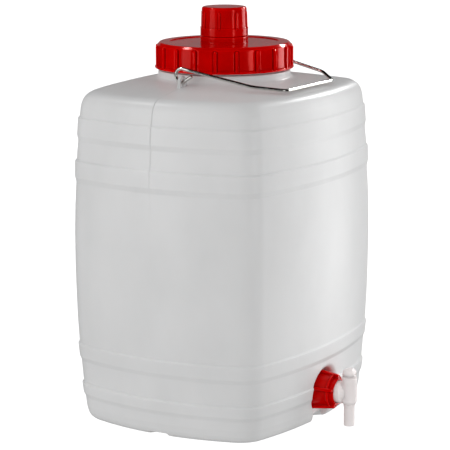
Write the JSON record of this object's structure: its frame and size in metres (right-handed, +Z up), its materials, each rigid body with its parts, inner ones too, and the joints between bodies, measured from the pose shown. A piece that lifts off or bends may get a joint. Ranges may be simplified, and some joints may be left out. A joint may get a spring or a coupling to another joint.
{
  "type": "plastic fermenting container",
  "caption": "Rectangular bow-sided blow-moulded fermenting container with hoops, wide screw lid, filler cap, wire bail and a bottom tap.",
  "frame": {"origin": "middle of the tank's base, on the face it stands on", "axes": "+Z up; -Y is the front, where the tap is; the bail's lugs and swing axis lie along X"},
  "size_m": [0.2642, 0.2507, 0.381],
  "materials": {
    "tank_polyethylene": "natural white high-density polyethylene, satin, slightly translucent, blow-moulded",
    "red_polypropylene": "glossy, slightly translucent dark red polypropylene",
    "tap_polyethylene": "natural translucent polyethylene, satin",
    "seal_rubber": "off-white food-grade seal rubber",
    "bail_steel": "bright drawn steel wire"
  },
  "bodies": {
    "tank": {"tank": "tank_polyethylene"},
    "lid_seal": {"lid_gasket": "seal_rubber"},
    "lid": {"lid": "red_polypropylene"},
    "cap_seal": {"filler_cap_liner": "seal_rubber"},
    "cap": {"filler_cap": "red_polypropylene"},
    "bail": {"bail": "bail_steel"},
    "tap": {"tap_body": "tap_polyethylene", "tap_gasket": "seal_rubber"},
    "nut": {"tap_nut": "red_polypropylene"},
    "plug": {"tap_plug": "tap_polyethylene"}
  },
  "joints": [
    {"name": "bail_swing", "type": "hinge", "parent": "tank", "child": "bail", "pos_m": [0, 0, 0.3251], "axis": [-1, 0, 0], "range_deg": [0, 195]},
    {"name": "lid_lift", "type": "slide", "parent": "tank", "child": "lid_seal", "axis": [0, 0, 1], "range_m": [0, 0.0181]},
    {"name": "lid_turn", "type": "hinge", "parent": "lid_seal", "child": "lid", "pos_m": [0, 0, 0.346], "axis": [0, 0, 1], "range_deg": [0, 720]},
    {"name": "cap_lift", "type": "slide", "parent": "lid", "child": "cap_seal", "axis": [0, 0, 1], "range_m": [0, 0.0181]},
    {"name": "cap_turn", "type": "hinge", "parent": "cap_seal", "child": "cap", "pos_m": [0, 0, 0.3788], "axis": [0, 0, 1], "range_deg": [0, 1080]},
    {"name": "tap_pull", "type": "slide", "parent": "tank", "child": "tap", "axis": [0, -1, 0], "range_m": [0, 0.0101]},
    {"name": "nut_turn", "type": "hinge", "parent": "tap", "child": "nut", "pos_m": [0, -0.115, 0.0317], "axis": [0, -1, 0], "range_deg": [0, 900]},
    {"name": "plug_turn", "type": "hinge", "parent": "tap", "child": "plug", "pos_m": [0, -0.1318, 0.0317], "axis": [0, 0, 1], "range_deg": [0, 90]}
  ],
  "couplings": [
    {"joint": "lid_lift", "follows": "lid_turn", "m_per_rad": 0.0014324},
    {"joint": "cap_lift", "follows": "cap_turn", "m_per_rad": 0.00095493},
    {"joint": "tap_pull", "follows": "nut_turn", "m_per_rad": 0.00063662}
  ]
}
